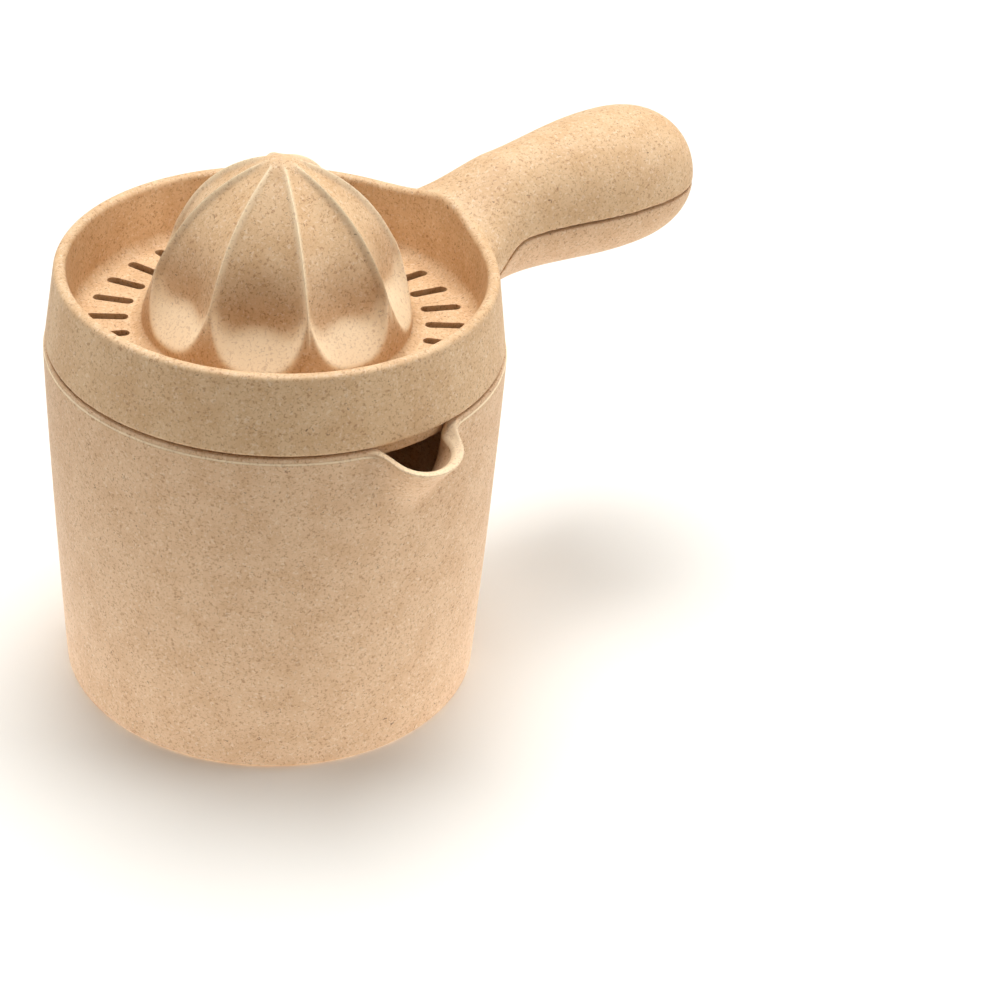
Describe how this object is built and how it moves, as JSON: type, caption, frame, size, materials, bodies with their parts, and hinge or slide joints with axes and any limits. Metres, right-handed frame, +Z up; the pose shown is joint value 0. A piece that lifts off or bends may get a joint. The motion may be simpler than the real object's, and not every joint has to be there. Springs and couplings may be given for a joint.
{
  "type": "citrus juicer",
  "caption": "Hand citrus juicer: fluted reamer and slotted bowl on a press top that lifts off a jug with a pouring lip and a split bulb handle.",
  "frame": {"origin": "centre of the jug's foot, on the surface it stands on", "axes": "+X along the handle towards its tip, +Z up along the jug's axis, pouring lip towards -Y"},
  "size_m": [0.1831, 0.1195, 0.1369],
  "materials": {
    "jug_fibre_plastic": "matte moulded plastic filled with fine darker plant fibre",
    "press_top_fibre_plastic": "matte moulded plastic filled with fine darker plant fibre"
  },
  "bodies": {
    "jug": {"jug": "jug_fibre_plastic"},
    "press_top": {"press_top": "press_top_fibre_plastic"}
  },
  "joints": [
    {"name": "press_top_lift", "type": "slide", "parent": "jug", "child": "press_top", "axis": [0, 0, 1], "range_m": [0, 0.05]}
  ]
}
